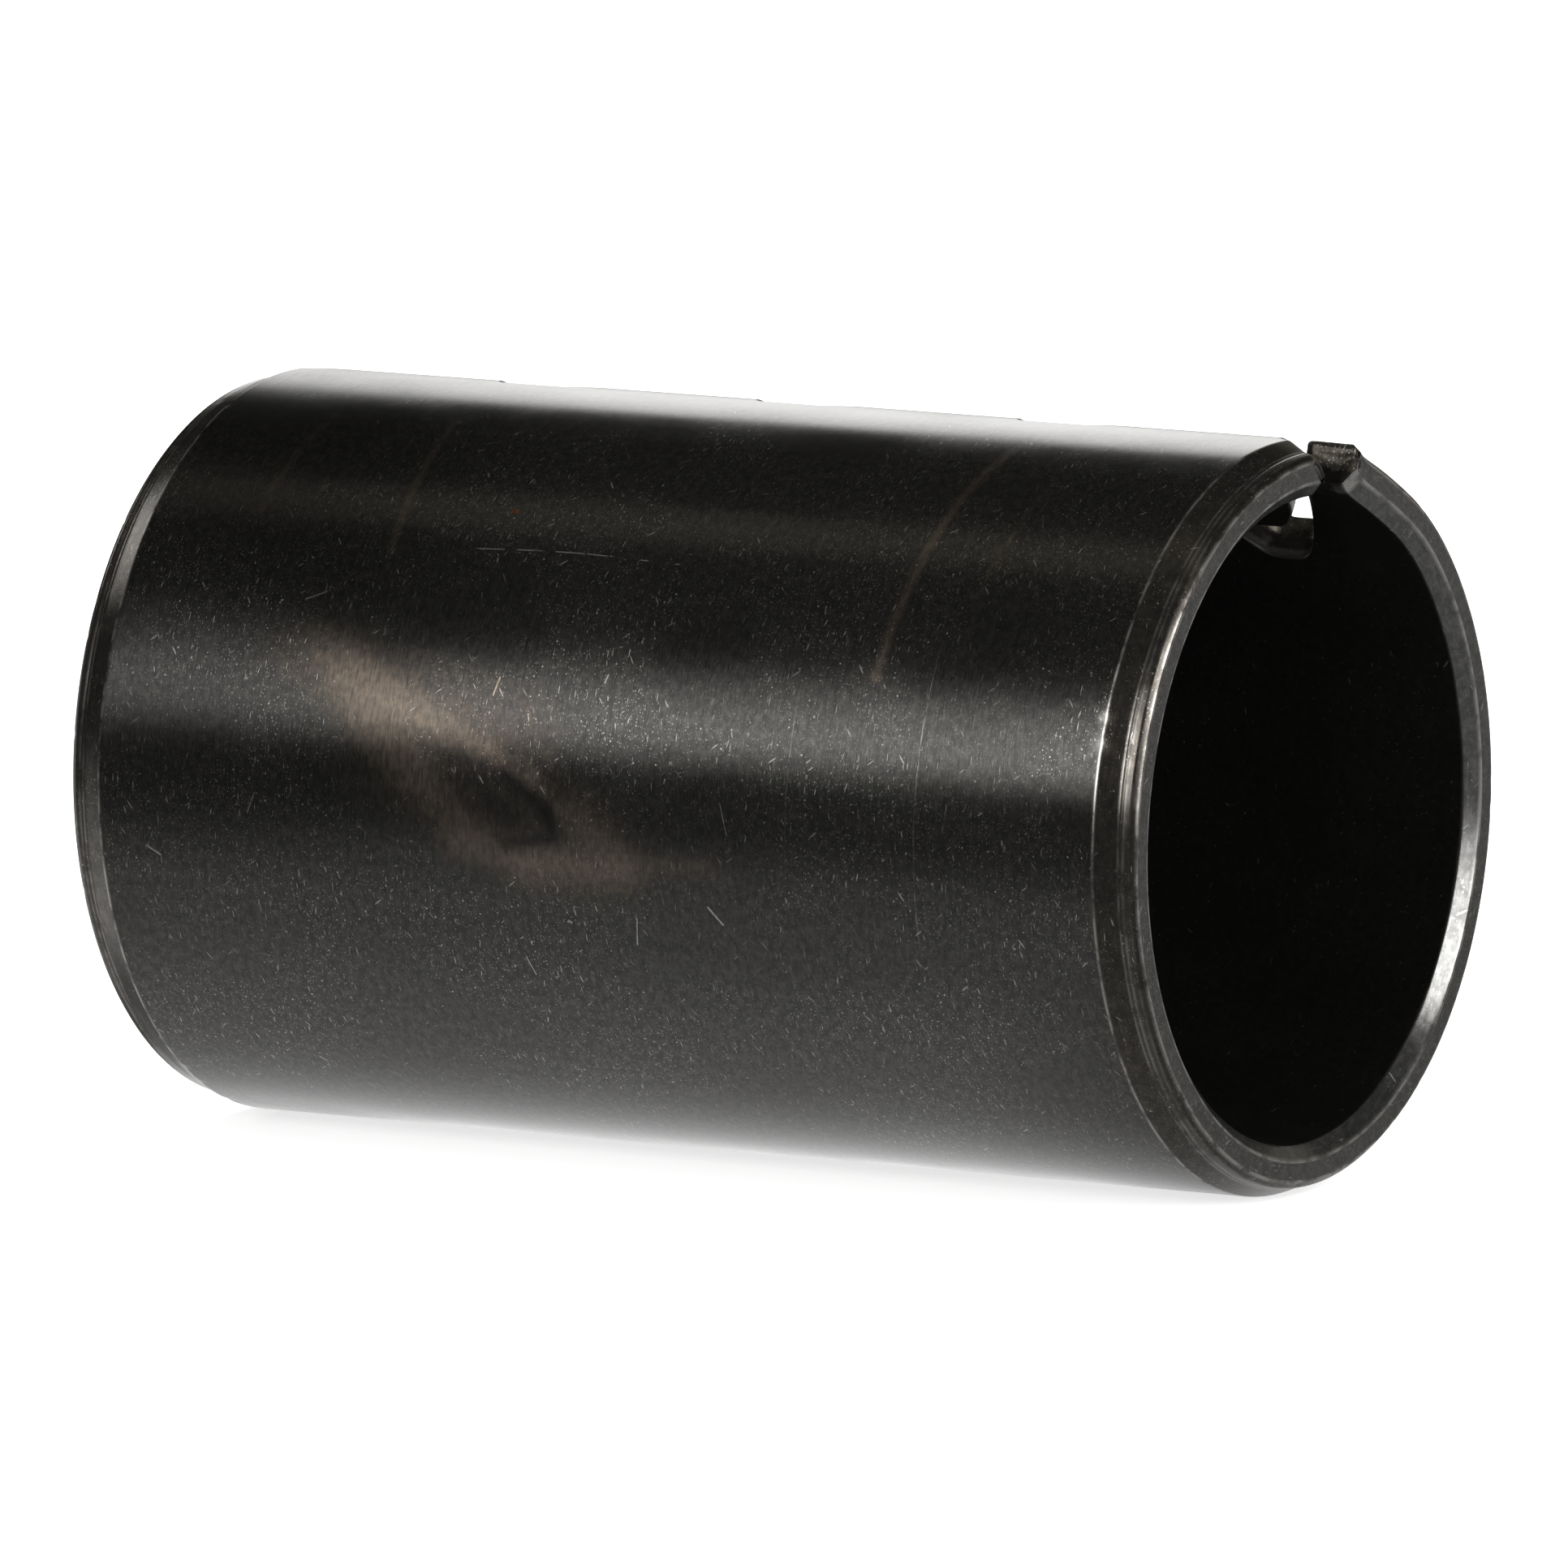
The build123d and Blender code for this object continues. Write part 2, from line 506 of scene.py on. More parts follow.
# --- materials -------------------------------------------------------------------------
def colour(red, green, blue):
    return (red, green, blue, 1.0)


BARE_STEEL = colour(0.40, 0.385, 0.365)
RUBBED_STEEL = colour(0.40, 0.31, 0.235)
BURNISHED = colour(0.012, 0.010, 0.009)
STAINED = colour(0.012, 0.011, 0.010)
BLACK = colour(0.0, 0.0, 0.0)
RUST = colour(0.20, 0.06, 0.02)

# Layers of round specks: width and length of a cell, shift, speck size as a share of the
# cell, share of the flecks, strength.
SPECKS = (
    (0.42, 0.42, 0.0, 0.12, 1.0, 1.0),
    (0.20, 0.24, 0.17, 0.20, 1.0, 0.55),
    (0.11, 0.15, 0.53, 0.28, 1.2, 0.6),
)
# Families of short scratches: width and length of a cell, turn, shift, share of the flecks.
SCRATCHES = (
    (0.22, 1.8, 0.0, 0.41, 0.8),
    (0.30, 1.5, 15.0, 0.63, 0.35),
    (0.30, 1.7, -13.0, 0.19, 0.35),
    (0.35, 2.4, 38.0, 0.77, 0.25),
    (0.35, 2.2, -55.0, 0.29, 0.25),
)
SCRATCH_SIZE = 0.11
# Short cuts in the oxide: (x, degrees) of both ends, half width.
CUTS = (
    ((-16.8, -59.1), (-15.8, -57.6), 0.035),
    ((-18.1, -89.5), (-18.5, -92.7), 0.025),
    ((6.1, -101.6), (6.8, -104.2), 0.045),
    ((6.9, -85.3), (7.3, -90.2), 0.022),
    ((-1.5, -105.7), (-1.4, -105.9), 0.055),
    ((-24.1, -99.2), (-23.4, -100.5), 0.035),
    ((-5.7, -71.8), (-5.5, -69.1), 0.040),
    ((0.1, -68.6), (0.2, -67.4), 0.045),
    ((2.2, -104.4), (2.0, -108.7), 0.028),
    ((-4.2, -112.4), (-3.9, -115.5), 0.024),
)
# Faint round lines: x, first and last turn in degrees, strength.
ROUND_LINES = (
    (17.2, -104.0, -62.0, 0.30),
    (10.4, -92.0, -70.0, 0.16),
    (-3.1, -140.0, -104.0, 0.12),
)
LINE_HALF_WIDTH = 0.02
LINE_SOFTNESS = 0.03
LINE_END_FADE = 1.5
# One long thin scratch along the sleeve, which wavers a little.
LONG_SCRATCH_X = (-8.5, 2.0)
LONG_SCRATCH_TURN = -48.0
LONG_SCRATCH_HALF_WIDTH = 0.015
LONG_SCRATCH_SOFTNESS = 0.025
LONG_SCRATCH_END_FADE = 0.4
WAVER = 0.10
WAVER_RATE = 420.0        # radians a metre
# One spot of rust.
RUST_X = (-7.85, -7.4)
RUST_TURN = (-40.9, -40.3)
RUST_X_SOFTNESS = 0.1
RUST_ARC_SOFTNESS = 0.08
# The outside is a little rougher towards the far end.
FAR_ROUGH_X = (-12.0, -25.0)
FAR_ROUGH = 0.06
# It is also darker there on the upper front: where this fades in, and out, in degrees.
FAR_DARK_X = (-2.0, -22.0)
FAR_DARK_TURN = (-106.0, -94.0, -20.0, 5.0)
FAR_DARK = 0.40
# The sheared wall is burnished from the bore up to a crack line, with a worn rim there.
CRACK_SHARE = 0.52        # of the wall, from the bore
CRACK_SOFTNESS = 0.12
CRACK_WOBBLE = 0.7
RIM_HEIGHT = 0.35
RIM_SOFTNESS = 0.2
RIM_WEAR = 0.10
SHEARED_SPECULAR = 0.25
BUMP_DISTANCE = 0.02


class Nodes:
    """Short calls for building a node tree."""

    def __init__(self, tree):
        self.tree = tree

    def add(self, kind, **settings):
        node = self.tree.nodes.new(kind)
        for key, value in settings.items():
            setattr(node, key, value)
        return node

    def link(self, source, target):
        self.tree.links.new(source, target)

    def fill(self, socket, value):
        if isinstance(value, bpy.types.NodeSocket):
            self.link(value, socket)
        else:
            socket.default_value = value

    def math(self, operation, a, b=0.0, c=0.0):
        node = self.add("ShaderNodeMath", operation=operation)
        for socket, value in zip(node.inputs, (a, b, c)):
            self.fill(socket, value)
        return node.outputs[0]

    def most(self, *values):
        result = values[0]
        for value in values[1:]:
            result = self.math("MAXIMUM", result, value)
        return result

    def ramp(self, value, low, high, out_low=0.0, out_high=1.0):
        node = self.add("ShaderNodeMapRange", interpolation_type="SMOOTHSTEP")
        self.fill(node.inputs["Value"], value)
        self.fill(node.inputs["From Min"], low)
        self.fill(node.inputs["From Max"], high)
        self.fill(node.inputs["To Min"], out_low)
        self.fill(node.inputs["To Max"], out_high)
        return node.outputs["Result"]

    def band(self, value, rise_start, rise_end, fall_start, fall_end):
        rise = self.ramp(value, rise_start, rise_end)
        return self.math("MULTIPLY", rise, self.ramp(value, fall_end, fall_start))

    def within(self, value, start, end, soft):
        return self.band(value, start - soft, start, end, end + soft)

    def mix(self, share, a, b):
        node = self.add("ShaderNodeMix", data_type="RGBA")
        self.fill(node.inputs[0], share)
        self.fill(node.inputs[6], a)
        self.fill(node.inputs[7], b)
        return node.outputs[2]

    def layer(self, name):
        return self.add("ShaderNodeAttribute", attribute_name=name).outputs["Fac"]

    def split(self, vector):
        node = self.add("ShaderNodeSeparateXYZ")
        self.link(vector, node.inputs[0])
        return node.outputs

    def plane(self, vector, axes):
        """A flat copy of two of a vector's components."""
        parts = self.split(vector)
        joined = self.add("ShaderNodeCombineXYZ")
        for socket, axis in zip(joined.inputs, axes):
            self.link(parts[axis], socket)
        return joined.outputs[0]

    def cells(self, vector, size, turn=0.0, shift=0.0):
        """Coordinates counted in cells of a size, turned in the unrolled sheet."""
        node = self.add("ShaderNodeMapping", vector_type="TEXTURE")
        self.fill(node.inputs["Vector"], vector)
        node.inputs["Scale"].default_value = [side * MM for side in size]
        node.inputs["Rotation"].default_value = (0.0, 0.0, math.radians(turn))
        node.inputs["Location"].default_value = (shift, shift, 0.0)
        return node.outputs[0]

    def noise(self, vector, detail=2.0, roughness=0.5):
        node = self.add("ShaderNodeTexNoise")
        self.fill(node.inputs["Vector"], vector)
        node.inputs["Scale"].default_value = 1.0
        node.inputs["Detail"].default_value = detail
        node.inputs["Roughness"].default_value = roughness
        return node.outputs[0]

    def flecks(self, vector, size, keep):
        """Specks, one in a share of the cells: round, or as long as the cells are."""
        node = self.add("ShaderNodeTexVoronoi", voronoi_dimensions="2D")
        self.fill(node.inputs["Vector"], vector)
        node.inputs["Scale"].default_value = 1.0
        split = self.add("ShaderNodeSeparateColor")
        self.link(node.outputs["Color"], split.inputs[0])
        chance, spread, glint = split.outputs
        reach = self.math("MULTIPLY", self.math("ADD", spread, 0.35), size)
        near = self.ramp(node.outputs["Distance"], reach, self.math("MULTIPLY", reach, 0.45))
        chosen = self.math("LESS_THAN", chance, keep)
        bright = self.math("ADD", self.math("MULTIPLY", glint, 0.75), 0.25)
        return self.math("MULTIPLY", self.math("MULTIPLY", near, chosen), bright)

    def stroke(self, x, arc, start, end, half_width):
        """A short straight cut between two points of the unrolled sheet."""
        along = (end[0] - start[0], end[1] - start[1])
        square = along[0] ** 2 + along[1] ** 2
        from_x = self.math("SUBTRACT", x, start[0])
        from_arc = self.math("SUBTRACT", arc, start[1])
        share = self.math("MULTIPLY", from_x, along[0] / square)
        share = self.math("MULTIPLY_ADD", from_arc, along[1] / square, share)
        share = self.math("MINIMUM", self.math("MAXIMUM", share, 0.0), 1.0)
        off_x = self.math("SUBTRACT", from_x, self.math("MULTIPLY", share, along[0]))
        off_arc = self.math("SUBTRACT", from_arc, self.math("MULTIPLY", share, along[1]))
        reach = self.math("MULTIPLY", off_x, off_x)
        reach = self.math("SQRT", self.math("MULTIPLY_ADD", off_arc, off_arc, reach))
        return self.ramp(reach, half_width * 1.5, half_width * 0.6)


class Finish:
    """One zone's settings: two oxide colours, and the grain's width and length.

    flecks, worn and haze are how much bare metal shows as specks, on edges and all over.
    """

    def __init__(self, base, lighter, metallic, roughness, grain, bump, flecks, worn, haze=0.0):
        self.base = base
        self.lighter = lighter
        self.metallic = metallic
        self.roughness = roughness
        self.grain = grain
        self.bump = bump
        self.flecks = flecks
        self.worn = worn
        self.haze = haze


def bright_specks(n, flat, few, cloud):
    """Specks and short scratches of bare metal, fewer where the cloud noise is low."""
    bright = 0.0
    for width, length, shift, size, share, strength in SPECKS:
        layer = n.flecks(n.cells(flat, (width, length, 1 / MM), shift=shift), size, few * share)
        bright = n.most(bright, n.math("MULTIPLY", layer, strength))
    for width, length, turn, shift, share in SCRATCHES:
        cells = n.cells(flat, (width, length, 1 / MM), turn, shift)
        bright = n.most(bright, n.flecks(cells, SCRATCH_SIZE, few * share))
    return n.math("MULTIPLY", bright, n.ramp(cloud, 0.38, 0.60, 0.35, 1.0))


def rub_marks(n, sheet, mottle):
    """(rubbed, dark, clear): the rubbed and darkened layers, broken up by streaks."""
    streaks = n.noise(n.cells(sheet, (0.09, 0.9, 0.5), shift=0.61), 3.0, 0.65)
    uneven = n.math("ADD", n.math("MULTIPLY", streaks, 0.55), n.math("MULTIPLY", mottle, 0.45))
    layer = n.layer("rubbed")
    rubbed = n.math("MULTIPLY_ADD", n.math("SUBTRACT", uneven, 0.5), 0.9, layer)
    rubbed = n.math("MULTIPLY", n.math("MAXIMUM", rubbed, 0.0), n.ramp(layer, 0.0, 0.18))
    rubbed = n.math("MULTIPLY", rubbed, n.ramp(uneven, 0.36, 0.60, 0.55, 1.10))
    dark = n.math("MULTIPLY", n.layer("darkened"), n.ramp(mottle, 0.2, 0.5, 0.6, 1.0))
    clear = n.math("SUBTRACT", 1.0, n.math("MULTIPLY", dark, 0.9))
    return n.math("MULTIPLY", rubbed, clear), dark, clear


def turned(degrees):
    """The unrolled sheet's second coordinate at an angle round the sleeve, in metres."""
    return math.radians(degrees + 360.0) * MIDDLE * MM


def thin_marks(n, sheet, metal, tone, fine):
    """The finest marks on the outside: round lines, one long scratch, cuts, a rust spot."""
    x, arc, _ = n.split(sheet)
    for line_x, low_turn, high_turn, strength in ROUND_LINES:
        line = n.within(x, (line_x - LINE_HALF_WIDTH) * MM, (line_x + LINE_HALF_WIDTH) * MM,
                        LINE_SOFTNESS * MM)
        span = n.within(arc, turned(low_turn), turned(high_turn), LINE_END_FADE * MM)
        line = n.math("MULTIPLY", n.math("MULTIPLY", line, span), n.ramp(fine, 0.40, 0.56))
        metal = n.most(metal, n.math("MULTIPLY", line, strength))

    waver = n.math("MULTIPLY", n.math("SINE", n.math("MULTIPLY", x, WAVER_RATE)), WAVER * MM)
    middle = turned(LONG_SCRATCH_TURN)
    thin = LONG_SCRATCH_HALF_WIDTH * MM
    scratch = n.within(n.math("ADD", arc, waver), middle - thin, middle + thin,
                       LONG_SCRATCH_SOFTNESS * MM)
    start, end = (edge * MM for edge in LONG_SCRATCH_X)
    span = n.within(x, start, end, LONG_SCRATCH_END_FADE * MM)
    breaks = n.ramp(n.noise(n.cells(sheet, (0.9, 5.0, 1 / MM)), 1.0), 0.44, 0.52)
    metal = n.most(metal, n.math("MULTIPLY", n.math("MULTIPLY", scratch, span), breaks))

    for (x0, turn0), (x1, turn1), half_width in CUTS:
        ends = (x0 * MM, turned(turn0)), (x1 * MM, turned(turn1))
        cut = n.stroke(x, arc, *ends, half_width * MM)
        metal = n.most(metal, n.math("MULTIPLY", cut, n.ramp(fine, 0.34, 0.50, 0.35, 0.75)))

    start, end = (edge * MM for edge in RUST_X)
    spot = n.math("MULTIPLY", n.within(x, start, end, RUST_X_SOFTNESS * MM),
                  n.within(arc, turned(RUST_TURN[0]), turned(RUST_TURN[1]), RUST_ARC_SOFTNESS * MM))
    tone = n.mix(n.math("MULTIPLY", spot, n.ramp(fine, 0.40, 0.52)), tone, RUST)
    return metal, tone


def black_oxide(name, finish, surface=(0, 1), marked=False, sheared=False):
    """Black-oxide steel: grain along the tool's path, mottling, flecks and bare spots.

    surface names the two components of "sheet" that run along this zone's surface.
    """
    material = bpy.data.materials.new(name)
    material.use_nodes = True
    tree = material.node_tree
    tree.nodes.clear()
    n = Nodes(tree)
    output = n.add("ShaderNodeOutputMaterial")
    shader = n.add("ShaderNodeBsdfPrincipled")
    n.link(shader.outputs[0], output.inputs[0])
    sheet = n.add("ShaderNodeAttribute", attribute_name="sheet").outputs["Vector"]
    across, along = finish.grain
    grain = n.noise(n.cells(sheet, (across, along, 0.5)), 3.0, 0.6)
    fine = n.noise(n.cells(sheet, (across / 3, along / 4, 0.2), shift=0.3), 2.0, 0.5)
    mottle = n.noise(n.cells(sheet, (0.38, 0.48, 0.5)), 4.0, 0.68)
    cloud = n.noise(n.cells(sheet, (7.0, 5.0, 5.0)), 3.0, 0.5)

    tone = n.mix(n.ramp(mottle, 0.38, 0.68), finish.base, finish.lighter)
    tone = n.mix(n.math("MULTIPLY", n.ramp(grain, 0.5, 0.72), 0.4), tone, finish.lighter)

    bright = bright_specks(n, n.plane(sheet, surface), finish.flecks, cloud)
    patch = n.noise(n.cells(sheet, (1.1, 1.3, 1.1)), 4.0, 0.62)
    patch = n.ramp(patch, 0.36, 0.58, 0.15, 1.0)
    worn = n.math("MULTIPLY", n.math("MULTIPLY", n.layer("wear"), patch), finish.worn)
    haze = n.math("ADD", n.math("MULTIPLY", fine, 0.6), n.math("MULTIPLY", mottle, 0.4))
    haze = n.math("MULTIPLY", n.ramp(haze, 0.42, 0.66), finish.haze)
    metal = n.most(n.math("MULTIPLY", bright, 0.85), worn, haze)
    steel = BARE_STEEL
    rough = n.ramp(cloud, 0.3, 0.7, finish.roughness - 0.03, finish.roughness + 0.03)
    rough = n.math("ADD", rough, n.math("MULTIPLY", n.math("SUBTRACT", grain, 0.5), 0.12))
    rough = n.math("ADD", rough, n.math("MULTIPLY", n.most(bright, worn), 0.10))

    if marked:
        rubbed, dark, clear = rub_marks(n, sheet, mottle)
        steel = n.mix(n.ramp(rubbed, 0.02, 0.2), BARE_STEEL, RUBBED_STEEL)
        steel = n.mix(n.ramp(metal, 0.25, 0.5), steel, BARE_STEEL)
        metal = n.most(n.math("MULTIPLY", metal, clear), n.math("MULTIPLY", rubbed, 0.28))
        tone = n.mix(n.math("MULTIPLY", dark, 0.45), tone, STAINED)
        rough = n.math("ADD", rough, n.math("MULTIPLY", rubbed, 0.05))
        start, end = (edge * MM for edge in FAR_ROUGH_X)
        rough = n.math("ADD", rough, n.ramp(n.split(sheet)[0], start, end, 0.0, FAR_ROUGH))
        metal, tone = thin_marks(n, sheet, metal, tone, fine)
    if sheared:
        wobble = n.math("MULTIPLY", n.math("SUBTRACT", mottle, 0.5), CRACK_WOBBLE * MM)
        level = n.math("ADD", n.split(sheet)[2], wobble)
        crack = BORE + CRACK_SHARE * (OUTER - BORE)
        burnished = n.ramp(level, crack * MM, (crack - CRACK_SOFTNESS) * MM)
        tone = n.mix(n.math("MULTIPLY", burnished, 0.9), tone, BURNISHED)
        rim = BORE + RIM_HEIGHT
        rim = n.ramp(level, (rim + RIM_SOFTNESS) * MM, rim * MM)
        metal = n.math("MULTIPLY", metal, n.math("SUBTRACT", 1.0, burnished))
        metal = n.most(metal, n.math("MULTIPLY", rim, RIM_WEAR))
        shader.inputs["Specular IOR Level"].default_value = SHEARED_SPECULAR

    shown = n.mix(metal, tone, steel)
    if marked:
        x, arc, _ = n.split(sheet)
        far = n.ramp(x, *(edge * MM for edge in FAR_DARK_X))
        upper = n.band(arc, *(turned(degrees) for degrees in FAR_DARK_TURN))
        dim = n.math("MULTIPLY", n.math("MULTIPLY", far, upper), FAR_DARK)
        shown = n.mix(dim, shown, BLACK)
    n.link(shown, shader.inputs["Base Color"])
    shader.inputs["Metallic"].default_value = finish.metallic
    n.link(rough, shader.inputs["Roughness"])

    height = n.math("ADD", n.math("MULTIPLY", grain, 0.6), n.math("MULTIPLY", fine, 0.3))
    height = n.math("ADD", height, n.math("MULTIPLY", mottle, 0.25))
    height = n.math("SUBTRACT", height, n.math("MULTIPLY", bright, 0.15))
    bump = n.add("ShaderNodeBump")
    bump.inputs["Strength"].default_value = finish.bump
    bump.inputs["Distance"].default_value = BUMP_DISTANCE * MM
    n.link(height, bump.inputs["Height"])
    n.link(bump.outputs[0], shader.inputs["Normal"])
    return material


def sleeve_materials():
    """One material for each of ZONE_NAMES, in that order."""
    ground = Finish(
        base=colour(0.038, 0.0375, 0.0365), lighter=colour(0.052, 0.050, 0.0465),
        metallic=0.90, roughness=0.17, grain=(0.085, 1.3), bump=0.10,
        flecks=0.32, worn=0.85, haze=0.07)
    cone = Finish(
        base=colour(0.040, 0.0365, 0.032), lighter=colour(0.058, 0.052, 0.045),
        metallic=0.87, roughness=0.22, grain=(0.07, 4.0), bump=0.22,
        flecks=0.18, worn=0.85, haze=0.04)
    face = Finish(
        base=colour(0.048, 0.047, 0.045), lighter=colour(0.070, 0.068, 0.065),
        metallic=0.80, roughness=0.36, grain=(0.6, 0.6), bump=0.50,
        flecks=0.24, worn=0.6, haze=0.06)
    mouth = Finish(
        base=colour(0.068, 0.068, 0.067), lighter=colour(0.098, 0.098, 0.096),
        metallic=0.82, roughness=0.20, grain=(0.3, 2.5), bump=0.25,
        flecks=0.14, worn=0.7, haze=0.10)
    bore = Finish(
        base=colour(0.038, 0.0375, 0.035), lighter=colour(0.048, 0.047, 0.044),
        metallic=0.92, roughness=0.36, grain=(0.8, 2.0), bump=0.15,
        flecks=0.03, worn=0.5)
    seam = Finish(
        base=colour(0.020, 0.017, 0.013), lighter=colour(0.044, 0.039, 0.031),
        metallic=0.66, roughness=0.32, grain=(0.35, 0.35), bump=0.90,
        flecks=0.24, worn=0.9, haze=0.02)
    return [
        black_oxide("ground_outside", ground, marked=True),
        black_oxide("turned_cone", cone),
        black_oxide("end_face", face, surface=(2, 1)),
        black_oxide("bore_mouth", mouth),
        black_oxide("bore", bore),
        black_oxide("seam_edge", seam, surface=(0, 2), sheared=True),
    ]


# --- studio ----------------------------------------------------------------------------
FLOOR_SIZE = 6000.0
FLOOR_COLOUR = colour(0.8, 0.8, 0.8)
FLOOR_GLOW = 0.72
# Brightness of the floor as the steel reflects it: it falls off towards the viewer.
# Each entry adds its amount between the two distances in front of the sleeve, in metres.
FLOOR_FAR = 0.05
FLOOR_STEPS = (
    (-0.130, -0.070, 0.13),
    (-0.078, -0.045, 0.27),
    (-0.045, -0.030, 0.12),
    (-0.030, -0.014, 0.34),
    (-0.012, -0.003, 0.30),
)
# It also falls off past the near end and recovers a little: start, end, from, to.
FLOOR_FALL = (0.010, 0.036, 1.0, 0.28)
FLOOR_RECOVERY = (0.05, 0.13, 0.0, 0.14)
# The far lead-in cone mirrors the floor beside it: dark close by, where a contact shadow is painted
# into the floor's glow, brighter further out.
# Each patch is where it fades in along x and along y, in metres.
PAINTED_CLOSE_SHADOW = ((-0.0308, -0.0328), (-0.0130, -0.0105))
PAINTED_CLOSE_SHADOW_CHANGE = -0.75
FURTHER = ((-0.042, -0.047), (-0.036, -0.028))
FURTHER_CHANGE = 0.6

# The surroundings, by direction. z is the direction's height and azimuth its angle in
# degrees. A band's four numbers are where it rises and where it falls. A ramp's numbers
# are where it starts and ends, and then its values there if they aren't 0 and 1.
SWEEP_BEHIND_Y = (0.0, 0.35)
SWEEP_TOP_Z = (0.49, 0.415)
SWEEP_BRIGHTER_Z = (0.0, 0.33, 1.25, 2.2)
SWEEP_DIM_X = (-0.47, -0.42, 1.0, 0.12)
SWEEP_END_X = (-0.62, -0.55)
LEFT_BOX_Z = (0.11, 0.34, 0.46, 0.70)
LEFT_BOX_AZIMUTH = (-129.3, -107.3, -95.0, -85.0)
RIGHT_BOX_Z = (0.0, 0.09, 0.61, 0.69)
RIGHT_BOX_AZIMUTH = (-32.0, -22.0, 0.0, 7.0)
RIGHT_BOX_BRIGHTER_Z = (0.05, 0.45, 0.5, 1.2)
BOX_STRENGTH = 10.0
END_BOX_Z = (0.30, 0.37, 0.50, 0.56)
END_BOX_Y = (-0.06, 0.04, 0.26, 0.36)
END_BOX_BRIGHTER_X = (-0.75, -0.85, 0.0, 3.5)
STRIP_Y = (-0.15, -0.07, 0.05, 0.13)
STRIP_Z = (0.6, 0.75)
STRIP_STRENGTH = 0.27
DARKEST = 0.008
# Dim parts of the surroundings are warmer than lit ones.
LIT = (0.28, 0.6)
DIM_COLOUR = colour(1.0, 0.94, 0.78)
LIT_COLOUR = colour(1.0, 0.995, 0.985)

KEY_SIZE = 1.4
KEY_ENERGY = 14.0
KEY_PLACE = (-0.2, 0.1, 1.3)

CAMERA_DISTANCE = 1.22517
CAMERA_AZIMUTH = math.radians(30.39)
CAMERA_ELEVATION = math.radians(7.987)
CAMERA_AIM = Vector((0.00009, 0.00001, -0.00029))
CAMERA_LENS = 604.0
CAMERA_SENSOR = 36.0
CAMERA_REACH = 50.0


def build_floor():
    size, level = FLOOR_SIZE, -OUTER
    corners = [(-size, -size, level), (size, -size, level), (size, size, level), (-size, size, level)]
    floor = new_mesh("floor", corners, [(0, 1, 2, 3)], smooth_faces=False)
    material = bpy.data.materials.new("pale_floor")
    material.use_nodes = True
    tree = material.node_tree
    tree.nodes.clear()
    n = Nodes(tree)
    output = n.add("ShaderNodeOutputMaterial")
    diffuse = n.add("ShaderNodeBsdfDiffuse")
    diffuse.inputs["Color"].default_value = FLOOR_COLOUR
    glow = n.add("ShaderNodeEmission")
    glow.inputs["Strength"].default_value = FLOOR_GLOW
    both = n.add("ShaderNodeAddShader")
    n.link(diffuse.outputs[0], both.inputs[0])
    n.link(glow.outputs[0], both.inputs[1])

    x, y, _ = n.split(n.add("ShaderNodeTexCoord").outputs["Object"])
    mirrored = FLOOR_FAR
    for start, end, amount in FLOOR_STEPS:
        mirrored = n.math("ADD", n.ramp(y, start, end, 0.0, amount), mirrored)
    fall = n.math("ADD", n.ramp(x, *FLOOR_FALL), n.ramp(x, *FLOOR_RECOVERY))
    # The first patch is a painted contact shadow in the floor's glow as the steel reflects it.
    for (x_range, y_range), change in ((PAINTED_CLOSE_SHADOW, PAINTED_CLOSE_SHADOW_CHANGE), (FURTHER, FURTHER_CHANGE)):
        patch = n.math("MULTIPLY", n.ramp(x, *x_range), n.ramp(y, *y_range))
        fall = n.math("MULTIPLY", fall, n.math("MULTIPLY_ADD", patch, change, 1.0))
    reflection = n.add("ShaderNodeEmission")
    n.link(n.math("MULTIPLY", mirrored, fall), reflection.inputs["Strength"])
    switch = n.add("ShaderNodeMixShader")
    n.link(n.add("ShaderNodeLightPath").outputs["Is Glossy Ray"], switch.inputs[0])
    n.link(both.outputs[0], switch.inputs[1])
    n.link(reflection.outputs[0], switch.inputs[2])
    n.link(switch.outputs[0], output.inputs[0])
    floor.data.materials.append(material)


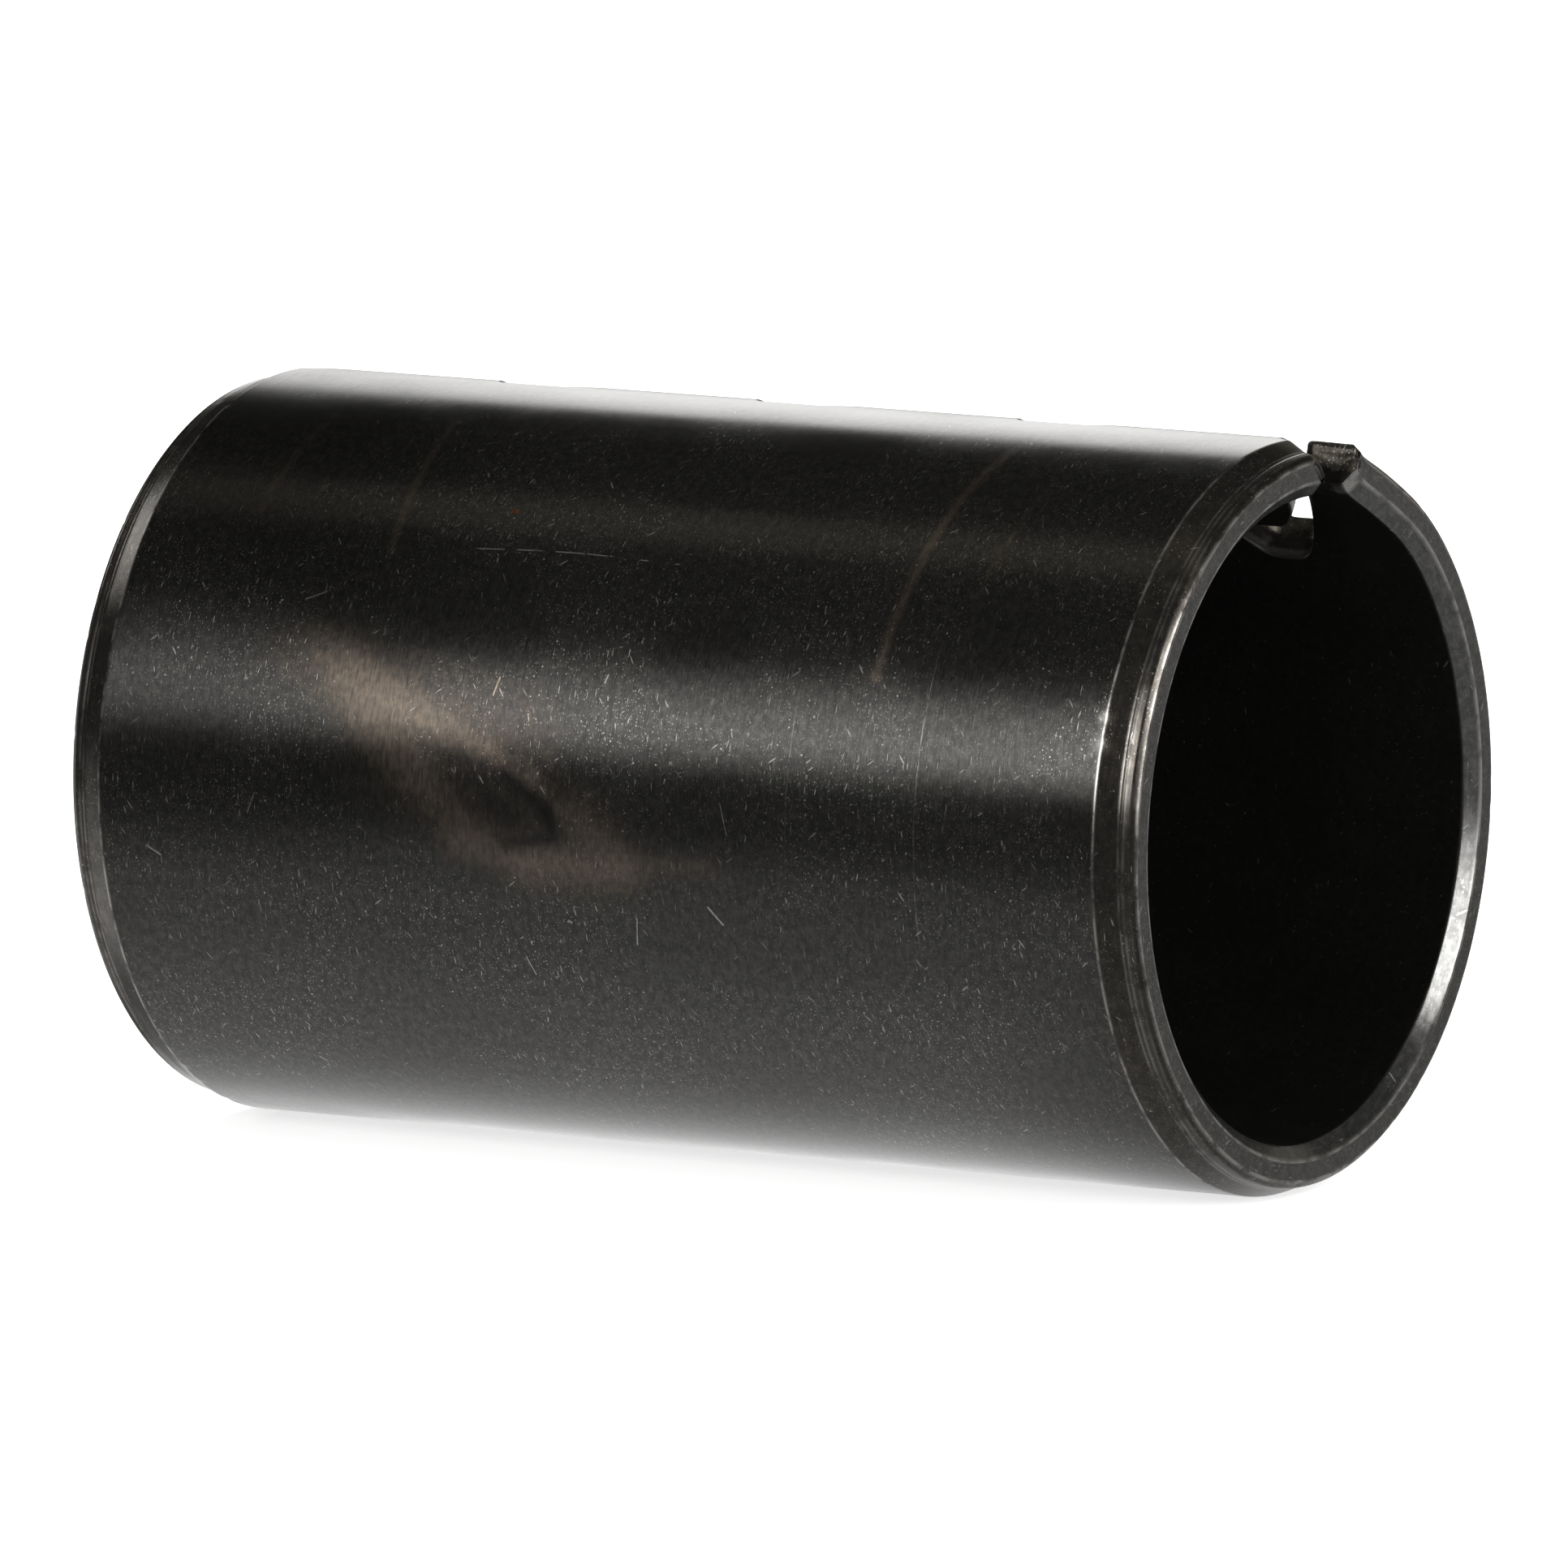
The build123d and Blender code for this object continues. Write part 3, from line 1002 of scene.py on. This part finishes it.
def build_world():
    """A white sweep behind, a dark sky with one faint strip, and three soft boxes."""
    world = bpy.data.worlds.new("studio")
    bpy.context.scene.world = world
    world.use_nodes = True
    tree = world.node_tree
    tree.nodes.clear()
    n = Nodes(tree)
    output = n.add("ShaderNodeOutputWorld")
    background = n.add("ShaderNodeBackground")
    n.link(background.outputs[0], output.inputs[0])
    x, y, z = n.split(n.add("ShaderNodeTexCoord").outputs["Generated"])
    azimuth = n.math("MULTIPLY", n.math("ARCTAN2", y, x), math.degrees(1.0))

    sweep = n.math("MULTIPLY", n.ramp(y, *SWEEP_BEHIND_Y), n.ramp(z, *SWEEP_TOP_Z))
    sweep = n.math("MULTIPLY", sweep, n.ramp(z, *SWEEP_BRIGHTER_Z))
    sweep = n.math("MULTIPLY", sweep, n.ramp(x, *SWEEP_DIM_X))
    sweep = n.math("MULTIPLY", sweep, n.ramp(x, *SWEEP_END_X))
    left_box = n.math("MULTIPLY", n.band(z, *LEFT_BOX_Z), n.band(azimuth, *LEFT_BOX_AZIMUTH))
    right_box = n.math("MULTIPLY", n.band(z, *RIGHT_BOX_Z), n.band(azimuth, *RIGHT_BOX_AZIMUTH))
    right_box = n.math("MULTIPLY", right_box, n.ramp(z, *RIGHT_BOX_BRIGHTER_Z))
    boxes = n.math("MULTIPLY", n.math("ADD", left_box, right_box), BOX_STRENGTH)
    end_box = n.math("MULTIPLY", n.band(z, *END_BOX_Z), n.band(y, *END_BOX_Y))
    end_box = n.math("MULTIPLY", end_box, n.ramp(x, *END_BOX_BRIGHTER_X))
    boxes = n.math("ADD", boxes, end_box)
    strip = n.math("MULTIPLY", n.band(y, *STRIP_Y), n.ramp(z, *STRIP_Z))
    strip = n.math("MULTIPLY", strip, STRIP_STRENGTH)
    total = n.math("ADD", n.math("ADD", sweep, boxes), n.math("ADD", strip, DARKEST))
    seen = n.add("ShaderNodeLightPath").outputs["Is Camera Ray"]
    n.link(n.math("MAXIMUM", total, seen), background.inputs["Strength"])
    lit = n.math("MAXIMUM", n.ramp(total, *LIT), seen)
    n.link(n.mix(lit, DIM_COLOUR, LIT_COLOUR), background.inputs["Color"])


def build_key():
    """Large soft light overhead: it lights the floor and draws no reflection of its own."""
    light = bpy.data.lights.new("key", "AREA")
    light.shape = "DISK"
    light.size = KEY_SIZE
    light.energy = KEY_ENERGY
    lamp = bpy.data.objects.new("key", light)
    lamp.location = KEY_PLACE
    lamp.rotation_euler = Vector(KEY_PLACE).to_track_quat("Z", "Y").to_euler()
    lamp.visible_glossy = False
    bpy.context.scene.collection.objects.link(lamp)


def build_camera():
    flat = math.cos(CAMERA_ELEVATION)
    away = Vector((
        math.sin(CAMERA_AZIMUTH) * flat,
        -math.cos(CAMERA_AZIMUTH) * flat,
        math.sin(CAMERA_ELEVATION),
    ))
    data = bpy.data.cameras.new("camera")
    data.sensor_width = CAMERA_SENSOR
    data.lens = CAMERA_LENS
    data.clip_end = CAMERA_REACH
    camera = bpy.data.objects.new("camera", data)
    camera.location = CAMERA_AIM + away * CAMERA_DISTANCE
    camera.rotation_euler = away.to_track_quat("Z", "Y").to_euler()
    bpy.context.scene.collection.objects.link(camera)
    bpy.context.scene.camera = camera


sleeve = build_sleeve()
for entry in sleeve_materials():
    sleeve.data.materials.append(entry)
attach(sleeve, "root")
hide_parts("split_sleeve")
build_floor()
build_world()
build_key()
build_camera()
bpy.context.scene.view_settings.view_transform = "Standard"
